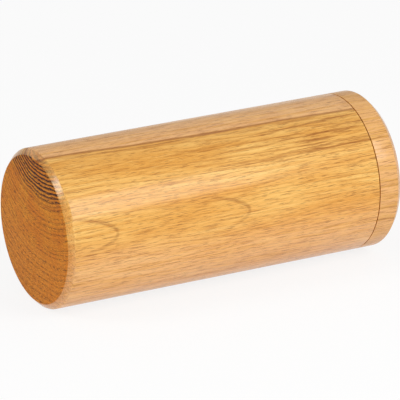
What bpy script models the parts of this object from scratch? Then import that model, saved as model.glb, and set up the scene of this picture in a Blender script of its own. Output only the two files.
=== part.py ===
"""Wooden hand shaker: a turned hollow body, a turned end cap glued into it, and loose pellets inside.

The shaker lies on its side along X, with its closed end at -X and its cap at +X, and rests on Z = 0.
Each row of pellets lies along the bottom of the bore and slides along X.
"""

import math

import bmesh
import bpy
from mathutils import Matrix, Vector

# Outside of the shaker, in metres
LENGTH = 0.140
DIAMETER = 0.060
END_CHAMFER = 0.0023
CHAMFER_EASING = 0.0007

# Bore of the body
WALL = 0.0075
CLOSED_END_THICKNESS = 0.010
BORE_FLOOR_FILLET = 0.0015

# End cap, which shows a rim of this thickness and reaches into the bore with its spigot
CAP_THICKNESS = 0.010
SPIGOT_LENGTH = 0.006
SPIGOT_LEAD_IN = 0.0008
GLUE_GAP = 0.0003
SEAM_EASING = 0.0002

# Pellets, in rows side by side on the bottom of the bore. Each row away from the lowest has one fewer
PELLET_DIAMETER = 0.0045
PELLET_GAP = 0.0003
LOWEST_ROW_PELLETS = 10
ROWS_EACH_SIDE = 3

# How round the meshes are
SIDES = 96
ARC_STEPS = 3
PELLET_SUBDIVISIONS = 2

# Places that follow from the sizes. X is measured from the middle of the shaker's length
OUTER_RADIUS = DIAMETER / 2
AXIS_HEIGHT = OUTER_RADIUS
BORE_RADIUS = OUTER_RADIUS - WALL
SPIGOT_RADIUS = BORE_RADIUS - GLUE_GAP
CLOSED_END_X = -LENGTH / 2
CAP_END_X = LENGTH / 2
SHOULDER_X = CAP_END_X - CAP_THICKNESS
MOUTH_X = SHOULDER_X - GLUE_GAP
BORE_FLOOR_X = CLOSED_END_X + CLOSED_END_THICKNESS
SPIGOT_END_X = SHOULDER_X - SPIGOT_LENGTH
CHAMBER_MIDDLE_X = (BORE_FLOOR_X + SPIGOT_END_X) / 2
PELLET_RADIUS = PELLET_DIAMETER / 2
PELLET_PITCH = PELLET_DIAMETER + PELLET_GAP
ROW_RADIUS = BORE_RADIUS - PELLET_GAP - PELLET_RADIUS
ROW_ANGLE = 2 * math.asin(PELLET_PITCH / 2 / ROW_RADIUS)

# Linear colour, roughness and metallic value of each material
FINISHES = {
    "lacquered_wood": ((0.72, 0.40, 0.13), 0.38, 0.0),
    "cap_wood": ((0.76, 0.44, 0.15), 0.38, 0.0),
    "pellet_steel": ((0.55, 0.56, 0.58), 0.25, 1.0),
}


def clear_scene():
    for old in list(bpy.data.objects):
        bpy.data.objects.remove(old, do_unlink=True)


def material(name):
    colour, roughness, metallic = FINISHES[name]
    made = bpy.data.materials.new(name)
    made.use_nodes = True
    shader = made.node_tree.nodes["Principled BSDF"]
    shader.inputs["Base Color"].default_value = (*colour, 1.0)
    shader.inputs["Roughness"].default_value = roughness
    shader.inputs["Metallic"].default_value = metallic
    return made


def place(name, data, location, parent=None):
    placed = bpy.data.objects.new(name, data)
    bpy.context.scene.collection.objects.link(placed)
    placed.location = location
    placed.parent = parent
    return placed


def arc_at(before, corner, after, radius):
    """Points of the arc of this radius that rounds off a corner between its two neighbours."""
    towards_before = (before - corner).normalized()
    towards_after = (after - corner).normalized()
    half_angle = towards_before.angle(towards_after) / 2
    middle = (towards_before + towards_after).normalized()
    centre = corner + middle * radius / math.sin(half_angle)
    first = corner + towards_before * radius / math.tan(half_angle) - centre
    last = corner + towards_after * radius / math.tan(half_angle) - centre
    turn = -first.angle_signed(last)
    return [
        centre + Matrix.Rotation(turn * step / ARC_STEPS, 2) @ first
        for step in range(ARC_STEPS + 1)
    ]


def outline(corners):
    """Points (x, radius) of a turned profile. Each corner is (x, radius, rounding)."""
    places = [Vector(corner[:2]) for corner in corners]
    points = []
    for index, (*_, rounding) in enumerate(corners):
        if rounding:
            points += arc_at(*places[index - 1 : index + 2], rounding)
        else:
            points.append(places[index])
    return points


def turned(name, corners, finish):
    """A solid turned round X, whose flat sides lie on the profile's radii, with one flat side down."""
    to_flats = 1 / math.cos(math.pi / SIDES)
    half_side = Matrix.Rotation(math.pi / SIDES, 4, "X")
    mesh = bpy.data.meshes.new(name)
    shape = bmesh.new()
    points = [
        shape.verts.new(half_side @ Vector((x, 0, radius * to_flats)))
        for x, radius in outline(corners)
    ]
    for start, end in zip(points, points[1:]):
        shape.edges.new((start, end))
    bmesh.ops.spin(
        shape,
        geom=shape.verts[:] + shape.edges[:],
        axis=(1, 0, 0),
        cent=(0, 0, 0),
        angle=2 * math.pi,
        steps=SIDES,
        use_merge=True,
    )
    bmesh.ops.remove_doubles(shape, verts=shape.verts, dist=1e-6)
    bmesh.ops.recalc_face_normals(shape, faces=shape.faces)
    shape.to_mesh(mesh)
    shape.free()
    mesh.shade_smooth()
    mesh.set_sharp_from_angle(angle=math.radians(30))
    mesh.materials.append(finish)
    return place(name, mesh, (0, 0, AXIS_HEIGHT))


def make_body():
    """The body: one blank with its closed end chamfered, bored from the other end."""
    corners = [
        (CLOSED_END_X, 0, 0),
        (CLOSED_END_X, OUTER_RADIUS - END_CHAMFER, CHAMFER_EASING),
        (CLOSED_END_X + END_CHAMFER, OUTER_RADIUS, CHAMFER_EASING),
        (MOUTH_X, OUTER_RADIUS, SEAM_EASING),
        (MOUTH_X, BORE_RADIUS, SEAM_EASING),
        (BORE_FLOOR_X, BORE_RADIUS, BORE_FLOOR_FILLET),
        (BORE_FLOOR_X, 0, 0),
    ]
    return turned("shaker_body", corners, material("lacquered_wood"))


def make_end_cap():
    """The end cap: a disc as wide as the body, with a spigot that is glued into the bore."""
    corners = [
        (CAP_END_X, 0, 0),
        (CAP_END_X, OUTER_RADIUS - END_CHAMFER, CHAMFER_EASING),
        (CAP_END_X - END_CHAMFER, OUTER_RADIUS, CHAMFER_EASING),
        (SHOULDER_X, OUTER_RADIUS, SEAM_EASING),
        (SHOULDER_X, SPIGOT_RADIUS, 0),
        (SPIGOT_END_X + SPIGOT_LEAD_IN, SPIGOT_RADIUS, 0),
        (SPIGOT_END_X, SPIGOT_RADIUS - SPIGOT_LEAD_IN, 0),
        (SPIGOT_END_X, 0, 0),
    ]
    return turned("end_cap", corners, material("cap_wood"))


def pellet_mesh():
    mesh = bpy.data.meshes.new("pellet")
    shape = bmesh.new()
    bmesh.ops.create_icosphere(
        shape, subdivisions=PELLET_SUBDIVISIONS, radius=PELLET_RADIUS
    )
    shape.to_mesh(mesh)
    shape.free()
    mesh.shade_smooth()
    mesh.materials.append(material("pellet_steel"))
    return mesh


def make_pellets():
    """Rows of pellets, numbered from -Y to +Y. Each row hangs on an empty on the line that it slides along."""
    mesh = pellet_mesh()
    number = 1
    for side in range(-ROWS_EACH_SIDE, ROWS_EACH_SIDE + 1):
        angle = side * ROW_ANGLE
        y = ROW_RADIUS * math.sin(angle)
        z = AXIS_HEIGHT - ROW_RADIUS * math.cos(angle)
        row = place(f"row_{side + ROWS_EACH_SIDE + 1}", None, (CHAMBER_MIDDLE_X, y, z))
        count = LOWEST_ROW_PELLETS - abs(side)
        for index in range(count):
            along = (index - (count - 1) / 2) * PELLET_PITCH
            place(f"pellet_{number:02d}", mesh, (along, 0, 0), row)
            number += 1


def main():
    clear_scene()
    make_body()
    make_end_cap()
    make_pellets()


main()
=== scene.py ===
"""A turned wooden hand shaker: its looks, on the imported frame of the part."""

import math

import bmesh
import bpy
from bpy.props import FloatProperty, FloatVectorProperty, IntProperty, PointerProperty
from mathutils import Matrix, Vector


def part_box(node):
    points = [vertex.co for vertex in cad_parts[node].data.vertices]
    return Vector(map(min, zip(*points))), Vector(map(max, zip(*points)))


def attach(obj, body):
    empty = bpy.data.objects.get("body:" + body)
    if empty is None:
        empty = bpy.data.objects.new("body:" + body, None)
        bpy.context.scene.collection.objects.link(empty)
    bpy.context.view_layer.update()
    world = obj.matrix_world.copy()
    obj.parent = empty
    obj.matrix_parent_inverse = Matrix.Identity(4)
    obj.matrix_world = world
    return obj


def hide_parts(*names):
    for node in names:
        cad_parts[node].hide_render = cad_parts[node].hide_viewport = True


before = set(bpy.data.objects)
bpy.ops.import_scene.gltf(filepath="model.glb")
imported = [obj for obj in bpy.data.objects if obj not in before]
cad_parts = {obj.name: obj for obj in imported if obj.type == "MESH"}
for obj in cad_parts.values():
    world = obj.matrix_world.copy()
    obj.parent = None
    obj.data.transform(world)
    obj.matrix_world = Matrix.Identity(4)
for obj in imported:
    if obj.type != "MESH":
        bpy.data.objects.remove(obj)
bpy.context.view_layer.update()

bl_info = {
    "name": "Turned Wooden Shaker",
    "version": (1, 0, 0),
    "blender": (4, 5, 0),
    "location": "3D View > Sidebar > Shaker",
    "description": "Builds the body, end cap, pellets and stage of a turned wooden shaker",
    "category": "Object",
}

BODY_LOW, BODY_HIGH = (Vector(corner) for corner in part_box("shaker_body"))
CAP_LOW, CAP_HIGH = (Vector(corner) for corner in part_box("end_cap"))

# The shaker lies along X with its axis this high, and the camera and lamps aim at its middle.
AXIS_HEIGHT = 0.030
MIDDLE = Vector((0.0, 0.0, AXIS_HEIGHT))
MILLIMETRES = 1000.0

# Turning: steps in an eased edge, metres between points that merge, and the angle of a hard edge.
EASING_STEPS = 4
SAME_POINT = 1e-6
HARD_EDGE = math.radians(28.0)

# How each blank lay in its log, with lengths in millimetres. The rings go round the heart, and the
# core is paler wood inside a dark line. A core radius below nothing leaves both out. Figure is the
# strength of the bow-shaped lines and the streaks above them.
BODY_GRAIN = {
    "Heart": (0.0, -7.0, 80.0),
    "Core Middle": (0.0, 1.3, 67.0),
    "Core Radius": 13.0,
    "Lean": 0.035,
    "Wander": 3.0,
    "Line Strength": 0.38,
    "Figure": 0.55,
    "Porous": 0.45,
}
CAP_GRAIN = {
    "Heart": (0.0, 36.0, 118.0),
    "Core Middle": (0.0, 36.0, 118.0),
    "Core Radius": -10.0,
    "Lean": 0.02,
    "Wander": 3.0,
    "Line Strength": 0.25,
    "Figure": 0.0,
    "Porous": 0.22,
}

# The cap's blank grew more slowly, so its rings are this share of the body's.
CAP_RING_SHARE = 0.8

# Patterns in the grain: size along it and across it in millimetres, detail and roughness.
HEART_BEND = (48.0, 22.0, 1.0, 0.5)
RING_RIPPLE = (14.0, 2.5, 2.0, 0.5)
BROAD_BANDS = (60.0, 9.0, 2.0, 0.5)
STREAKS = (30.0, 1.3, 4.0, 0.65)
FIBRES = (8.0, 0.30, 4.0, 0.75)
NOISE_MIDDLE = 0.5

# How far slow changes and ripples move a ring's edge, in ring widths, and how often growth changes.
UNEVEN_SHIFT = 2.2
RIPPLE_SHIFT = 0.35
UNEVEN_PER_MILLIMETRE = 0.13

# Parts of a ring's width, from 0 at its start to 1 at its end.
LATE_WOOD = (0.25, 0.9)
EARLY_WOOD = (0.45, 0.05)
RING_LINE = 0.93
RING_LINE_EDGE = (0.11, 0.02)

# Distances from the heart in millimetres between which something begins or fades.
# Far from the heart, which on the body is its lower side, the side is painted paler pinkish tan: a
# painted reflection of the pale floor.
PAINTED_FLOOR_REFLECTION = (52.0, 66.0)
BOLD_BY_HEART = (46.0, 36.0)
DENSE_BEGIN = (20.0, 25.0)
DENSE_FADE = (42.0, 35.0)

# The rings that show dark in the end grain lie this many millimetres apart.
DENSE_SPACING = 1.5

# Specks in the end grain for each millimetre along the log, out from the heart and round a ring.
SPECKS_ALONG, SPECKS_OUT, SPECKS_ROUND = 0.3, 2.1, 0.68

# The second line round the core lies this many millimetres outside the first.
SECOND_LINE = 1.7

# The bow-shaped growth lines: X of each tip and Z of its middle, in millimetres.
BOWS = ((-50.5, 35.2), (4.0, 34.2))

# How fast a bow bends back and thickens away from its tip, and half its width in millimetres.
BOW_BEND = 0.30
BOW_THICKENING = 0.6
BOW_LINE = (0.75, 0.15)

# How squarely a surface faces along X where end grain begins to show, and on a chamfer.
END_GRAIN = (0.55, 0.92)
CHAMFER_FACING = 0.7

# Distance from a pore's middle, as a share of the pores' spacing, over which its edge fades.
PORE_EDGE = (0.30, 0.12)

# Depths in metres of the wood's relief and the steel's rubbing marks.
WOOD_RELIEF = 0.00008
STEEL_RELIEF = 0.00001

# Steel: how many times longer than wide the marks are, the size of its clouds and their darkness.
MARK_STRETCH = 4
STEEL_CLOUD = 0.002
CLOUD_SHADE = 0.72

# The camera's turn and rise round the shaker, its distance in metres and its long lens.
CAMERA_TURN = math.radians(28.62)
CAMERA_RISE = math.radians(20.47)
CAMERA_DISTANCE = 1.384
CAMERA_LENS = 333.3
CAMERA_SENSOR = 36.0
CAMERA_SHIFT = (-0.0040, -0.0058)
CAMERA_CLIP = (0.05, 50.0)

# Each lamp's place and width in metres, and its power in watts.
LAMPS = {
    "key_lamp": ((0.30, -0.76, 0.66), 0.45, 4.35),
    "left_lamp": ((-0.94, 0.07, 0.72), 0.34, 3.2),
    "front_lamp": ((-0.35, -1.35, 0.28), 0.9, 4.1),
}

# The floor in metres. Near the shaker this share of it is plain white and the rest takes light and
# shadow, and across the shadow zone it becomes plain white.
FLOOR_RADIUS = 6.0
FLOOR_SIDES = 96
SHADOW_ZONE = (0.2, 1.2)
WHITE_NEAR = 0.84

# Strength of the world's light on the shaker, and the colours of the stage.
WORLD_LIGHT = 0.50
WHITE = (1.0, 1.0, 1.0, 1.0)
PALE = (0.94, 0.94, 0.94, 1.0)


def paint(red, green, blue):
    """The linear colour of a screen colour given from 0 to 255."""
    shares = (value / 255 for value in (red, green, blue))
    return tuple(
        share / 12.92 if share < 0.04045 else ((share + 0.055) / 1.055) ** 2.4
        for share in shares
    )


def size(name, description, default):
    """A length in metres that the user can change."""
    return FloatProperty(
        name=name,
        description=description,
        default=default,
        min=0.0,
        unit="LENGTH",
        subtype="DISTANCE",
        precision=5,
    )


def colour(name, description, default):
    """A colour that the user can change."""
    return FloatVectorProperty(
        name=name,
        description=description,
        default=default,
        min=0.0,
        max=1.0,
        size=3,
        subtype="COLOR",
    )


class ShakerShape(bpy.types.PropertyGroup):
    """Sizes of the turned wood."""

    radius: size("Radius", "Radius of the turned outside", 0.030)
    chamfer: size("Chamfer", "Width of the chamfer round each end", 0.0023)
    easing: size("Easing", "Length eased off each edge of a chamfer", 0.00035)
    seam_easing: size("Seam Easing", "Length eased off the two edges at the seam", 0.00016)
    wall: size("Wall", "Thickness of the body's wall", 0.0075)
    closed_end: size("Closed End", "Thickness of the body's closed end", 0.010)
    floor_fillet: size("Bore Fillet", "Rounding at the bottom of the bore", 0.0015)
    cap_thickness: size("Cap Thickness", "Length of the cap that shows", 0.010)
    spigot_gap: size("Spigot Gap", "Gap between the spigot and the bore", 0.0003)
    lead_in: size("Lead In", "Chamfer round the end of the spigot", 0.0008)
    sides: IntProperty(
        name="Sides", description="Facets round the turned outside", default=192, min=48
    )


class ShakerWood(bpy.types.PropertyGroup):
    """Colours and scale of the lacquered wood."""

    gold: colour("Gold", "Main colour of the body", paint(243, 196, 112))
    honey: colour("Honey", "Darker colour late in each ring", paint(222, 156, 66))
    # Tan is the paler wood of the core, and on the body's lower side it is a painted reflection of
    # the pale floor.
    tan: colour("Tan", "Pinkish colour of the core and near the bark", paint(236, 182, 128))
    line: colour("Growth Line", "Colour where two rings meet", paint(138, 74, 26))
    pore: colour("Pore", "Colour inside the open pores", paint(122, 62, 20))
    dense_ring: colour("Dense Ring", "Colour of dense rings in the end grain", paint(52, 24, 8))
    end_tint: colour("End Grain", "Tint where the finish soaks in", paint(240, 196, 92))
    cap_gold: colour("Cap Gold", "Main colour of the end cap", paint(226, 176, 82))
    cap_honey: colour("Cap Honey", "Darker colour of the end cap", paint(208, 148, 58))
    ring_spacing: size("Ring Spacing", "Distance between growth rings", 0.0024)
    pore_length: size("Pore Length", "Length of one open pore", 0.0052)
    pore_width: size("Pore Width", "Distance between pores across the grain", 0.00034)


class ShakerPellets(bpy.types.PropertyGroup):
    """Looks of the steel pellets."""

    steel: colour("Steel", "Colour of the pellets", paint(196, 198, 202))
    scratch: size("Scratch Size", "Distance between the fine marks", 0.00025)


def add(tree, kind, inputs=None, **settings):
    """A new node with its settings, and each input given a value or a link."""
    node = tree.nodes.new(kind)
    for name, value in settings.items():
        setattr(node, name, value)
    for name, value in (inputs or {}).items():
        if isinstance(value, bpy.types.NodeSocket):
            tree.links.new(value, node.inputs[name])
        else:
            node.inputs[name].default_value = value
    return node


def calc(tree, operation, *values, clamp=False):
    """The result of one sum on values."""
    inputs = dict(enumerate(values))
    return add(tree, "ShaderNodeMath", inputs, operation=operation, use_clamp=clamp).outputs[0]


def calc_vector(tree, operation, *values, result="Vector"):
    """The result of one sum on vectors."""
    inputs = dict(enumerate(values))
    return add(tree, "ShaderNodeVectorMath", inputs, operation=operation).outputs[result]


def times(tree, first, *others):
    """The product of some values."""
    for other in others:
        first = calc(tree, "MULTIPLY", first, other)
    return first


def total(tree, start, *shares):
    """A start value with a share of each further value added to it."""
    for value, share in shares:
        start = calc(tree, "MULTIPLY_ADD", value, share, start)
    return start


def gap(tree, value, middle):
    """How far a value is from a middle one, on either side."""
    return calc(tree, "ABSOLUTE", calc(tree, "SUBTRACT", value, middle))


def fade(tree, value, start, end, low=0.0, high=1.0):
    """A value that goes smoothly from low at start to high at end."""
    inputs = {0: value, 1: start, 2: end, 3: low, 4: high}
    return add(tree, "ShaderNodeMapRange", inputs, interpolation_type="SMOOTHSTEP").outputs[0]


def blend(tree, factor, first, second, how="MIX"):
    """Two colours mixed by a factor."""
    inputs = {0: factor, 6: first, 7: second}
    node = add(tree, "ShaderNodeMix", inputs, data_type="RGBA", blend_type=how)
    return node.outputs[2]


def blend_value(tree, factor, first, second):
    """Two values mixed by a factor."""
    return add(tree, "ShaderNodeMix", {0: factor, 2: first, 3: second}).outputs[0]


def split(tree, vector):
    """The X, Y and Z of a vector."""
    return add(tree, "ShaderNodeSeparateXYZ", {0: vector}).outputs


def join(tree, *parts):
    """A vector made of its X, Y and Z."""
    return add(tree, "ShaderNodeCombineXYZ", dict(enumerate(parts))).outputs[0]


def noise(tree, place, detail, roughness, output=0):
    """Noise with features about one unit across."""
    inputs = {"Vector": place, "Scale": 1.0, "Detail": detail, "Roughness": roughness}
    return add(tree, "ShaderNodeTexNoise", inputs).outputs[output]


def pattern(tree, place, along, across, detail, roughness, output=0):
    """Noise stretched along the grain, with the size of its features both ways."""
    scaled = calc_vector(tree, "MULTIPLY", place, (1 / along, 1 / across, 1 / across))
    return noise(tree, scaled, detail, roughness, output)


def new_group(name, inputs, outputs):
    """An empty shader group. Its sockets are named by kind: Vector, Float or Color."""
    tree = bpy.data.node_groups.new(name, "ShaderNodeTree")
    for side, kinds in (("INPUT", inputs), ("OUTPUT", outputs)):
        for kind, labels in kinds.items():
            for label in labels:
                tree.interface.new_socket(label, in_out=side, socket_type="NodeSocket" + kind)
    given = tree.nodes.new("NodeGroupInput").outputs
    wanted = tree.nodes.new("NodeGroupOutput").inputs
    return tree, given, wanted


def give(tree, wanted, results):
    """Links each result to the group's output of that name."""
    for name, result in results.items():
        tree.links.new(result, wanted[name])


def use_group(tree, name, values):
    """The outputs of a shader group placed in a tree with its own values."""
    return add(tree, "ShaderNodeGroup", values, node_tree=bpy.data.node_groups[name]).outputs


def ring_group():
    """Growth rings round a heart line that leans and wanders along the log."""
    tree, given, wanted = new_group(
        "growth_rings",
        {"Vector": ("Place", "Heart"), "Float": ("Spacing", "Lean", "Wander")},
        {"Float": ("Radius", "Age", "Mark", "Round")},
    )
    bend = pattern(tree, given["Place"], *HEART_BEND, output="Color")
    bend = calc_vector(tree, "SUBTRACT", bend, (NOISE_MIDDLE, NOISE_MIDDLE, NOISE_MIDDLE))
    scaled = {0: bend, "Scale": given["Wander"]}
    bend = add(tree, "ShaderNodeVectorMath", scaled, operation="SCALE").outputs[0]
    place = calc_vector(tree, "ADD", given["Place"], bend)
    place = calc_vector(tree, "SUBTRACT", place, given["Heart"])
    parts = split(tree, place)
    height = total(tree, parts["Z"], (parts["X"], given["Lean"]))
    across = join(tree, 0.0, parts["Y"], height)
    radius = calc_vector(tree, "LENGTH", across, result="Value")

    # Rings are wide in some years and narrow in others, and their edges ripple.
    growth = {"W": radius, "Scale": UNEVEN_PER_MILLIMETRE}
    uneven = add(tree, "ShaderNodeTexNoise", growth, noise_dimensions="1D").outputs[0]
    ripple = pattern(tree, given["Place"], *RING_RIPPLE)
    years = calc(tree, "DIVIDE", radius, given["Spacing"])
    years = total(tree, years, (uneven, UNEVEN_SHIFT), (ripple, RIPPLE_SHIFT))
    year = {"W": calc(tree, "FLOOR", years)}
    chance = add(tree, "ShaderNodeTexWhiteNoise", year, noise_dimensions="1D")
    results = {
        "Radius": radius,
        "Age": calc(tree, "FRACT", years),
        "Mark": chance.outputs["Value"],
        "Round": calc(tree, "ARCTAN2", parts["Y"], height),
    }
    give(tree, wanted, results)


def pore_group():
    """Open pores, which are long along the grain and round across it."""
    tree, given, wanted = new_group(
        "open_pores",
        {"Vector": ("Place",), "Float": ("Length", "Width", "Amount")},
        {"Float": ("Pores",)},
    )
    along = calc(tree, "DIVIDE", 1.0, given["Length"])
    across = calc(tree, "DIVIDE", 1.0, given["Width"])
    place = calc_vector(tree, "MULTIPLY", given["Place"], join(tree, along, across, across))
    cells = add(tree, "ShaderNodeTexVoronoi", {"Vector": place, "Scale": 1.0}).outputs
    hole = fade(tree, cells["Distance"], *PORE_EDGE)
    chance = add(tree, "ShaderNodeSeparateColor", {0: cells["Color"]}).outputs[0]
    is_open = calc(tree, "LESS_THAN", chance, given["Amount"])
    give(tree, wanted, {"Pores": times(tree, hole, is_open)})


def read_grain(tree, given):
    """The values that the wood's colour, gloss and relief are all made from."""
    place = given["Place"]
    shared = {name: given[name] for name in ("Place", "Spacing", "Lean", "Wander")}
    rings = use_group(tree, "growth_rings", {**shared, "Heart": given["Heart"]})
    core = use_group(tree, "growth_rings", {**shared, "Heart": given["Core Middle"]})
    facing = calc(tree, "ABSOLUTE", split(tree, given["Facing"])["X"])
    early = fade(tree, rings["Age"], *EARLY_WOOD)
    pore_values = {
        "Place": place,
        "Length": given["Pore Length"],
        "Width": given["Pore Width"],
        "Amount": total(tree, given["Porous"], (early, given["Porous"])),
    }
    return {
        "spot": split(tree, place),
        "rings": rings,
        "past_core": calc(tree, "SUBTRACT", core["Radius"], given["Core Radius"]),
        "facing": facing,
        "end": fade(tree, facing, *END_GRAIN),
        "early": early,
        "broad": pattern(tree, place, *BROAD_BANDS),
        "streak": pattern(tree, place, *STREAKS),
        "fibre": pattern(tree, place, *FIBRES),
        "pores": use_group(tree, "open_pores", pore_values)["Pores"],
    }


def upper_streaks(tree, given, grain):
    """Darker streaks on the upper front, stronger towards the cap."""
    spot = grain["spot"]
    return times(
        tree,
        fade(tree, spot["X"], -25.0, 30.0),
        given["Figure"],
        fade(tree, spot["Y"], -8.0, -13.0),
        fade(tree, spot["Z"], 47.0, 51.0),
        fade(tree, grain["streak"], 0.50, 0.62),
    )


def bow(tree, spot, tip, middle):
    """One bow-shaped growth line on the front of the side, with its tip towards +X."""
    rise = calc(tree, "SUBTRACT", spot["Z"], middle)
    height = calc(tree, "ABSOLUTE", rise)
    bent = total(tree, spot["X"], (times(tree, rise, rise), BOW_BEND))
    thickness = total(tree, 1.0, (height, BOW_THICKENING))
    past = calc(tree, "DIVIDE", gap(tree, bent, tip), thickness)
    return times(
        tree,
        fade(tree, past, *BOW_LINE),
        fade(tree, height, 9.0, 5.0),
        fade(tree, rise, -6.0, 3.0, 0.35, 1.0),
        fade(tree, spot["Y"], -10.0, -18.0),
    )


def bow_lines(tree, given, grain):
    """The bow-shaped growth lines, broken up by the fibres."""
    first, second = (bow(tree, grain["spot"], *place) for place in BOWS)
    lines = calc(tree, "MAXIMUM", first, second)
    broken = fade(tree, grain["fibre"], 0.30, 0.62, 0.35, 1.0)
    return times(tree, lines, broken, given["Figure"])


def ring_lines(tree, given, grain):
    """Thin dark lines where two rings meet, bolder in some years than in others."""
    rings = grain["rings"]
    line = fade(tree, gap(tree, rings["Age"], RING_LINE), *RING_LINE_EDGE)
    bold = fade(tree, rings["Mark"], 0.35, 1.0, 0.12, 0.75)
    at_end = fade(tree, rings["Radius"], *BOLD_BY_HEART, 0.5, 1.2)
    strength = blend_value(tree, grain["end"], given["Line Strength"], at_end)
    return calc(tree, "MULTIPLY", times(tree, line, bold), strength, clamp=True)


def core_lines(tree, grain):
    """The ragged dark line round the core, and a fainter one outside it."""
    rough_edge = calc(tree, "SUBTRACT", grain["streak"], NOISE_MIDDLE)
    ragged = total(tree, grain["past_core"], (rough_edge, 1.6))
    first = fade(tree, calc(tree, "ABSOLUTE", ragged), 0.95, 0.1, 0.0, 0.62)
    outside = fade(tree, gap(tree, ragged, SECOND_LINE), 0.6, 0.1)
    second = times(tree, outside, fade(tree, grain["broad"], 0.42, 0.58, 0.0, 0.5))
    return calc(tree, "MAXIMUM", first, second)


def side_colour(tree, given, grain):
    """Colour along the grain, laid on from the broad bands down to the pores."""
    late = fade(tree, grain["rings"]["Age"], *LATE_WOOD)
    # Tan far from the heart, on the body's lower side, is a painted reflection of the pale floor.
    # Inside the core it is paler wood.
    floor_reflection = fade(tree, grain["rings"]["Radius"], *PAINTED_FLOOR_REFLECTION)
    inside = fade(tree, grain["past_core"], 0.6, -0.8)
    pale = calc(tree, "MAXIMUM", inside, times(tree, floor_reflection, 0.9))
    layers = (
        ("Honey", fade(tree, grain["broad"], 0.3, 0.7)),
        ("Honey", times(tree, late, 0.45)),
        ("Tan", times(tree, pale, 0.8)),
        ("Honey", fade(tree, grain["streak"], 0.40, 0.68, 0.0, 0.7)),
        ("Line", fade(tree, grain["streak"], 0.58, 0.78, 0.0, 0.5)),
        ("Line", fade(tree, grain["fibre"], 0.50, 0.66, 0.0, 0.7)),
        ("Gold", fade(tree, grain["fibre"], 0.50, 0.30, 0.0, 0.7)),
        ("Line", upper_streaks(tree, given, grain)),
        ("Line", bow_lines(tree, given, grain)),
        ("Line", ring_lines(tree, given, grain)),
        ("Line", core_lines(tree, grain)),
        ("Pore", times(tree, grain["pores"], 0.72)),
    )
    look = given["Gold"]
    for name, share in layers:
        look = blend(tree, share, look, given[name])
    return look


def end_colour(tree, given, grain, look):
    """Colour of the cut ends, where the finish soaks in and the dense rings show dark."""
    rings = grain["rings"]
    radius = rings["Radius"]
    along_log = times(tree, grain["spot"]["X"], SPECKS_ALONG)
    out_from_heart = times(tree, radius, SPECKS_OUT)
    round_ring = times(tree, rings["Round"], radius, SPECKS_ROUND)
    speck = noise(tree, join(tree, along_log, out_from_heart, round_ring), 3.0, 0.65)

    in_rows = total(tree, 0.28, (grain["early"], 0.72))
    pore_rows = times(tree, in_rows, fade(tree, speck, 0.45, 0.60, 0.0, 0.85))
    look = blend(tree, 1.0, look, given["End Tint"], "MULTIPLY")
    look = blend(tree, pore_rows, look, given["Dense Ring"])

    uneven = times(tree, grain["broad"], 1.6)
    turns = total(tree, uneven, (radius, 1 / DENSE_SPACING), (speck, 0.8))
    band = fade(tree, gap(tree, calc(tree, "FRACT", turns), 0.5), 0.14, 0.36, 1.0, 0.0)
    crowd = times(tree, fade(tree, radius, *DENSE_BEGIN), fade(tree, radius, *DENSE_FADE))
    crowd = total(tree, 0.12, (crowd, 0.88))
    broken = fade(tree, speck, 0.34, 0.46, 0.35, 1.0)
    return blend(tree, times(tree, band, crowd, broken), look, given["Dense Ring"])


def wood_group():
    """Solid wood: colour, gloss and relief of side grain and end grain alike."""
    tree, given, wanted = new_group(
        "turned_wood",
        {
            "Vector": ("Place", "Facing", "Heart", "Core Middle"),
            "Float": (
                "Core Radius",
                "Spacing",
                "Lean",
                "Wander",
                "Line Strength",
                "Figure",
                "Porous",
                "Pore Length",
                "Pore Width",
            ),
            "Color": ("Gold", "Honey", "Tan", "Line", "Pore", "End Tint", "Dense Ring"),
        },
        {"Color": ("Color",), "Float": ("Roughness", "Coat", "Height")},
    )
    grain = read_grain(tree, given)
    end, pores = grain["end"], grain["pores"]
    side = side_colour(tree, given, grain)
    soaked = end_colour(tree, given, grain, side)

    # Lacquer sinks into end grain and open pores, and catches the light on the chamfers.
    chamfer = fade(tree, gap(tree, grain["facing"], CHAMFER_FACING), 0.28, 0.05, 0.0, 0.5)
    coat = total(tree, 0.42, (end, -0.34), (chamfer, 1.0))
    results = {
        "Color": blend(tree, end, side, soaked),
        "Roughness": total(tree, 0.36, (end, 0.30), (pores, 0.22), (grain["streak"], 0.10)),
        "Coat": calc(tree, "MULTIPLY_ADD", pores, -0.06, coat, clamp=True),
        "Height": total(tree, times(tree, grain["fibre"], 0.25), (pores, -0.8)),
    }
    give(tree, wanted, results)


def build_groups():
    """Builds each shader group once, those that others use first."""
    builders = {"growth_rings": ring_group, "open_pores": pore_group, "turned_wood": wood_group}
    for name, build in builders.items():
        if name not in bpy.data.node_groups:
            build()


def rgba(values):
    """A colour with full alpha."""
    return (*values, 1.0)


def new_material(name):
    """A material with an empty node tree, and that tree."""
    material = bpy.data.materials.new(name)
    material.use_nodes = True
    material.node_tree.nodes.clear()
    return material, material.node_tree


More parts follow.
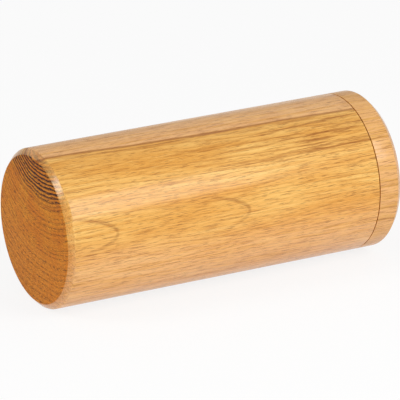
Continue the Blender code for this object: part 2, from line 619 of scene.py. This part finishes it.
def wood(name, gold, honey, ring_spacing, grain):
    """A lacquered wood material, with its grain along X and its place in millimetres."""
    build_groups()
    looks = bpy.context.scene.shaker_wood
    material, tree = new_material(name)
    where = add(tree, "ShaderNodeTexCoord").outputs
    scaled = {"Vector": where["Object"], "Scale": (MILLIMETRES, MILLIMETRES, MILLIMETRES)}
    values = {
        "Place": add(tree, "ShaderNodeMapping", scaled).outputs[0],
        "Facing": where["Normal"],
        "Spacing": ring_spacing * MILLIMETRES,
        "Pore Length": looks.pore_length * MILLIMETRES,
        "Pore Width": looks.pore_width * MILLIMETRES,
        "Gold": rgba(gold),
        "Honey": rgba(honey),
        "Tan": rgba(looks.tan),
        "Line": rgba(looks.line),
        "Pore": rgba(looks.pore),
        "End Tint": rgba(looks.end_tint),
        "Dense Ring": rgba(looks.dense_ring),
        **grain,
    }
    made = use_group(tree, "turned_wood", values)
    relief = {"Strength": 0.35, "Distance": WOOD_RELIEF, "Height": made["Height"]}
    shader = add(
        tree,
        "ShaderNodeBsdfPrincipled",
        {
            "Base Color": made["Color"],
            "Roughness": made["Roughness"],
            "Normal": add(tree, "ShaderNodeBump", relief).outputs[0],
            "IOR": 1.5,
            "Specular IOR Level": 0.16,
            "Coat Weight": made["Coat"],
            "Coat Roughness": 0.20,
        },
    )
    add(tree, "ShaderNodeOutputMaterial", {"Surface": shader.outputs[0]})
    return material


def steel(name):
    """Plain polished steel with fine rubbing marks and faint darker clouds."""
    looks = bpy.context.scene.shaker_pellets
    material, tree = new_material(name)
    where = add(tree, "ShaderNodeTexCoord").outputs["Object"]
    marks = pattern(tree, where, looks.scratch * MARK_STRETCH, looks.scratch, 4.0, 0.6)
    clouds = pattern(tree, where, STEEL_CLOUD, STEEL_CLOUD, 2.0, 0.5)
    dark = tuple(value * CLOUD_SHADE for value in looks.steel)
    tint = blend(tree, fade(tree, clouds, 0.35, 0.7), rgba(looks.steel), rgba(dark))
    relief = {"Strength": 0.2, "Distance": STEEL_RELIEF, "Height": marks}
    shader = add(
        tree,
        "ShaderNodeBsdfPrincipled",
        {
            "Base Color": tint,
            "Metallic": 1.0,
            "Roughness": fade(tree, marks, 0.3, 0.7, 0.22, 0.42),
            "Normal": add(tree, "ShaderNodeBump", relief).outputs[0],
        },
    )
    add(tree, "ShaderNodeOutputMaterial", {"Surface": shader.outputs[0]})
    return material


def new_object(name, mesh):
    """An object in the scene that holds a finished bmesh."""
    data = bpy.data.meshes.new(name)
    mesh.to_mesh(data)
    mesh.free()
    made = bpy.data.objects.new(name, data)
    bpy.context.scene.collection.objects.link(made)
    return made


def turned(name, profile, sides):
    """A closed piece turned round the shaker's axis. Each point is (x, radius, easing)."""
    mesh = bmesh.new()
    corners = []
    for x, radius, easing in profile:
        corners.append((mesh.verts.new((x, 0.0, AXIS_HEIGHT + radius)), easing))
    for (first, _), (second, _) in zip(corners, corners[1:]):
        mesh.edges.new((first, second))
    for corner, easing in corners:
        if easing > 0:
            bmesh.ops.bevel(
                mesh,
                geom=[corner],
                offset=easing,
                offset_type="OFFSET",
                affect="VERTICES",
                segments=EASING_STEPS,
                profile=0.5,
                material=-1,
            )
    bmesh.ops.spin(
        mesh,
        geom=mesh.verts[:] + mesh.edges[:],
        cent=MIDDLE,
        axis=(1.0, 0.0, 0.0),
        dvec=(0.0, 0.0, 0.0),
        angle=2 * math.pi,
        steps=sides,
        use_merge=True,
        use_duplicate=False,
    )
    bmesh.ops.remove_doubles(mesh, verts=mesh.verts[:], dist=SAME_POINT)
    bmesh.ops.recalc_face_normals(mesh, faces=mesh.faces[:])
    for face in mesh.faces:
        face.smooth = True
    for edge in mesh.edges:
        if not edge.is_manifold:
            raise RuntimeError(name + " isn't closed")
        edge.smooth = edge.calc_face_angle() < HARD_EDGE
    return new_object(name, mesh)


class SHAKER_OT_body(bpy.types.Operator):
    """Turn the hollow body and give it its wood"""

    bl_idname = "shaker.body"
    bl_label = "Body"

    def execute(self, context):
        shape = context.scene.shaker_shape
        looks = context.scene.shaker_wood
        radius = shape.radius
        bore = radius - shape.wall
        floor = BODY_LOW.x + shape.closed_end
        profile = [
            (BODY_LOW.x, 0.0, 0.0),
            (BODY_LOW.x, radius - shape.chamfer, shape.easing),
            (BODY_LOW.x + shape.chamfer, radius, shape.easing),
            (BODY_HIGH.x, radius, shape.seam_easing),
            (BODY_HIGH.x, bore, shape.seam_easing),
            (floor, bore, shape.floor_fillet),
            (floor, 0.0, 0.0),
        ]
        piece = turned("turned_body", profile, shape.sides)
        finish = wood("body_wood", looks.gold, looks.honey, looks.ring_spacing, BODY_GRAIN)
        piece.data.materials.append(finish)
        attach(piece, "shaker")
        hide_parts("shaker_body")
        return {"FINISHED"}


class SHAKER_OT_end_cap(bpy.types.Operator):
    """Turn the glued end cap with its spigot"""

    bl_idname = "shaker.end_cap"
    bl_label = "End Cap"

    def execute(self, context):
        shape = context.scene.shaker_shape
        looks = context.scene.shaker_wood
        radius = shape.radius
        spigot = radius - shape.wall - shape.spigot_gap
        shoulder = CAP_HIGH.x - shape.cap_thickness
        profile = [
            (CAP_HIGH.x, 0.0, 0.0),
            (CAP_HIGH.x, radius - shape.chamfer, shape.easing),
            (CAP_HIGH.x - shape.chamfer, radius, shape.easing),
            (shoulder, radius, shape.seam_easing),
            (shoulder, spigot, 0.0),
            (CAP_LOW.x + shape.lead_in, spigot, 0.0),
            (CAP_LOW.x, spigot - shape.lead_in, 0.0),
            (CAP_LOW.x, 0.0, 0.0),
        ]
        piece = turned("turned_end_cap", profile, shape.sides)
        spacing = looks.ring_spacing * CAP_RING_SHARE
        finish = wood("cap_wood", looks.cap_gold, looks.cap_honey, spacing, CAP_GRAIN)
        piece.data.materials.append(finish)
        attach(piece, "shaker")
        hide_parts("end_cap")
        return {"FINISHED"}


class SHAKER_OT_pellets(bpy.types.Operator):
    """Give the pellets inside the bore their steel"""

    bl_idname = "shaker.pellets"
    bl_label = "Pellets"

    def execute(self, context):
        finish = steel("pellet_steel")
        found = [node for name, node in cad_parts.items() if name.startswith("pellet_")]
        if not found:
            raise RuntimeError("the frame has no pellets")
        for pellet in found:
            for slot in pellet.material_slots:
                slot.material = finish
        return {"FINISHED"}


def set_camera(scene):
    """The camera of the reference view, with a long lens."""
    level = math.cos(CAMERA_RISE)
    back = Vector(
        (-math.sin(CAMERA_TURN) * level, -math.cos(CAMERA_TURN) * level, math.sin(CAMERA_RISE))
    )
    right = Vector((math.cos(CAMERA_TURN), -math.sin(CAMERA_TURN), 0.0))
    up = back.cross(right)
    lens = bpy.data.cameras.new("view_camera")
    lens.sensor_width = CAMERA_SENSOR
    lens.lens = CAMERA_LENS
    lens.shift_x, lens.shift_y = CAMERA_SHIFT
    lens.clip_start, lens.clip_end = CAMERA_CLIP
    camera = bpy.data.objects.new("view_camera", lens)
    axes = Matrix((right, up, back)).transposed().to_4x4()
    camera.matrix_world = Matrix.Translation(MIDDLE + back * CAMERA_DISTANCE) @ axes
    scene.collection.objects.link(camera)
    scene.camera = camera


def add_lamp(scene, name, place, width, power):
    """A soft square lamp aimed at the shaker."""
    data = bpy.data.lights.new(name, "AREA")
    data.shape = "SQUARE"
    data.size = width
    data.energy = power
    lamp = bpy.data.objects.new(name, data)
    aim = (MIDDLE - Vector(place)).to_track_quat("-Z", "Y")
    lamp.matrix_world = Matrix.Translation(place) @ aim.to_matrix().to_4x4()
    scene.collection.objects.link(lamp)


def seen_directly(tree):
    """1 for rays from the camera, a gloss or a glass, and 0 for the rays that light things."""
    path = add(tree, "ShaderNodeLightPath").outputs
    seen = calc(tree, "ADD", path["Is Camera Ray"], path["Is Glossy Ray"], clamp=True)
    return calc(tree, "ADD", seen, path["Is Transmission Ray"], clamp=True)


def floor_material():
    """Pale floor that the camera sees as white, with the shaker's soft shadow kept."""
    material, tree = new_material("pale_floor")
    plain = add(tree, "ShaderNodeBsdfDiffuse", {"Color": PALE}).outputs[0]
    white = add(tree, "ShaderNodeEmission", {"Color": WHITE, "Strength": 1.0}).outputs[0]
    where = add(tree, "ShaderNodeTexCoord").outputs["Object"]
    far = calc_vector(tree, "LENGTH", where, result="Value")
    share = times(tree, seen_directly(tree), fade(tree, far, *SHADOW_ZONE, WHITE_NEAR, 1.0))
    mixed = add(tree, "ShaderNodeMixShader", {0: share, 1: plain, 2: white})
    add(tree, "ShaderNodeOutputMaterial", {"Surface": mixed.outputs[0]})
    return material


def set_world(scene):
    """Soft even light from all round, which the camera sees as white."""
    world = bpy.data.worlds.new("studio_world")
    world.use_nodes = True
    scene.world = world
    tree = world.node_tree
    tree.nodes.clear()
    soft, white = (
        add(tree, "ShaderNodeBackground", {"Color": WHITE, "Strength": strength}).outputs[0]
        for strength in (WORLD_LIGHT, 1.0)
    )
    seen = add(tree, "ShaderNodeLightPath").outputs["Is Camera Ray"]
    mixed = add(tree, "ShaderNodeMixShader", {0: seen, 1: soft, 2: white})
    add(tree, "ShaderNodeOutputWorld", {"Surface": mixed.outputs[0]})


class SHAKER_OT_stage(bpy.types.Operator):
    """Set the floor, lamps, world and camera"""

    bl_idname = "shaker.stage"
    bl_label = "Stage"

    def execute(self, context):
        scene = context.scene
        mesh = bmesh.new()
        bmesh.ops.create_circle(mesh, cap_ends=True, segments=FLOOR_SIDES, radius=FLOOR_RADIUS)
        floor = new_object("floor", mesh)
        floor.data.materials.append(floor_material())
        for name, settings in LAMPS.items():
            add_lamp(scene, name, *settings)
        set_world(scene)
        set_camera(scene)
        scene.view_settings.view_transform = "Standard"
        return {"FINISHED"}


class SHAKER_PT_panel(bpy.types.Panel):
    """Lists the settings of the shaker and the steps that build it"""

    bl_idname = "SHAKER_PT_panel"
    bl_label = "Turned Wooden Shaker"
    bl_space_type = "VIEW_3D"
    bl_region_type = "UI"
    bl_category = "Shaker"

    def draw(self, context):
        for group in SETTINGS:
            settings = getattr(context.scene, group)
            for name in settings.__annotations__:
                self.layout.prop(settings, name)
        for operator in STEPS:
            self.layout.operator(operator.bl_idname)


SETTINGS = {
    "shaker_shape": ShakerShape,
    "shaker_wood": ShakerWood,
    "shaker_pellets": ShakerPellets,
}
STEPS = (SHAKER_OT_body, SHAKER_OT_end_cap, SHAKER_OT_pellets, SHAKER_OT_stage)
CLASSES = (*SETTINGS.values(), *STEPS, SHAKER_PT_panel)


def register():
    """Registers the classes and hangs the settings on the scene."""
    for kind in CLASSES:
        bpy.utils.register_class(kind)
    for name, kind in SETTINGS.items():
        setattr(bpy.types.Scene, name, PointerProperty(type=kind))


def unregister():
    """Takes away what register added."""
    for name in SETTINGS:
        delattr(bpy.types.Scene, name)
    for kind in reversed(CLASSES):
        bpy.utils.unregister_class(kind)


def main():
    """Builds the shaker and its stage."""
    register()
    bpy.ops.shaker.body()
    bpy.ops.shaker.end_cap()
    bpy.ops.shaker.pellets()
    bpy.ops.shaker.stage()


if __name__ == "__main__":
    main()
